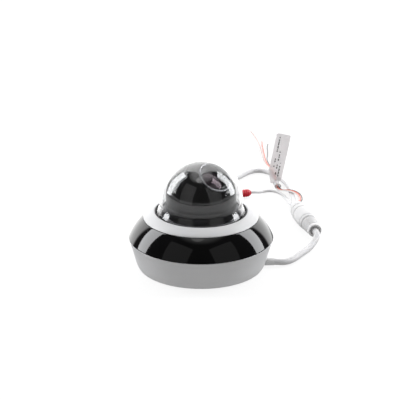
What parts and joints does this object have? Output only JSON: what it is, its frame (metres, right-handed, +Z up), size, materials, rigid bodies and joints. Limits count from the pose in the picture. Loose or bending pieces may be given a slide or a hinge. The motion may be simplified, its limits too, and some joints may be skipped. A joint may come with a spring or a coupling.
{
  "type": "dome cctv camera",
  "caption": "Mini pan-tilt dome security camera: white housing, black infrared window, clear dome over a tilting eyeball, and a cable tail with network and power leads.",
  "frame": {"origin": "centre of the base plate's underside, which rests on the surface", "axes": "+Z up along the pan axis through the dome; -Y is the front, from which the cable leaves on the right (+X)"},
  "size_m": [0.2009, 0.5023, 0.1131],
  "materials": {
    "white_shell": "fine satin moulding",
    "ir_black": "polished, infrared-pass black",
    "ball_black": "polished black",
    "dark_matte": "matte dark grey",
    "liner_grey": "satin pale grey",
    "gasket_rubber": "matte",
    "clear_dome": "clear polished polycarbonate",
    "lens_glass": "coated glass",
    "cast_aluminium": "satin",
    "steel": "machined",
    "board": "solder mask",
    "cable_white": "satin PVC jacket",
    "jack_white": "satin moulding",
    "cap_red": "glossy moulding",
    "jack_black": "satin",
    "wire_red": "satin",
    "wire_black": "satin",
    "wire_pink": "satin",
    "label_white": "satin film"
  },
  "bodies": {
    "root": {"lower_housing": "white_shell", "trim_ring": "white_shell", "ir_window": "ir_black", "inner_liner": "liner_grey", "dome_gasket": "gasket_rubber", "pan_belt": "gasket_rubber", "dome_cover": "clear_dome", "base_plate": "cast_aluminium", "chassis": "cast_aluminium", "heat_sink": "cast_aluminium", "base_screw_1": "steel", "base_screw_2": "steel", "base_screw_3": "steel", "pan_motor": "steel", "pan_bearing_outer": "steel", "main_board": "board", "ir_led_board": "board", "cable_gland": "cable_white", "main_cable": "cable_white", "cable_junction": "cable_white", "network_lead": "cable_white", "power_lead": "cable_white", "signal_wire_white": "cable_white", "network_jack": "jack_white", "power_cap": "cap_red", "power_jack": "jack_black", "signal_wire_red": "wire_red", "signal_wire_black": "wire_black", "signal_wire_pink": "wire_pink", "label_tag": "label_white"},
    "pan_drive": {"pan_motor_pulley": "cast_aluminium"},
    "pan_group": {"pan_platform": "dark_matte", "pan_cup": "dark_matte", "pan_bearing_inner": "steel", "yoke_left": "steel", "yoke_right": "steel", "tilt_motor": "steel", "tilt_motor_bracket": "steel", "tilt_belt": "gasket_rubber"},
    "tilt_drive": {"tilt_motor_pulley": "cast_aluminium"},
    "eyeball": {"ball_shell_front": "ball_black", "ball_shell_rear": "ball_black", "lens_bezel": "ball_black", "lens_baffle": "dark_matte", "lens_front_glass": "lens_glass", "lens_barrel": "dark_matte", "camera_block": "dark_matte", "sensor_board": "board", "tilt_pulley": "cast_aluminium", "trunnion_left": "steel", "trunnion_right": "steel"}
  },
  "joints": [
    {"name": "pan", "type": "hinge", "parent": "root", "child": "pan_group", "pos_m": [0, 0, 0], "axis": [0, 0, 1], "range_deg": [-175, 175]},
    {"name": "pan_motor_spin", "type": "hinge", "parent": "root", "child": "pan_drive", "pos_m": [0, 0.038, 0], "axis": [0, 0, 1], "range_deg": [-645, 645]},
    {"name": "tilt", "type": "hinge", "parent": "pan_group", "child": "eyeball", "pos_m": [0, 0, 0.0733], "axis": [-0.6947, -0.7193, 0], "range_deg": [-30.4, 37.6]},
    {"name": "tilt_motor_spin", "type": "hinge", "parent": "pan_group", "child": "tilt_drive", "pos_m": [0, 0, 0.048], "axis": [-0.6947, -0.7193, 0], "range_deg": [-94, 115]}
  ],
  "couplings": [
    {"joint": "pan_motor_spin", "follows": "pan", "ratio": 3.6667},
    {"joint": "tilt_motor_spin", "follows": "tilt", "ratio": 3}
  ]
}
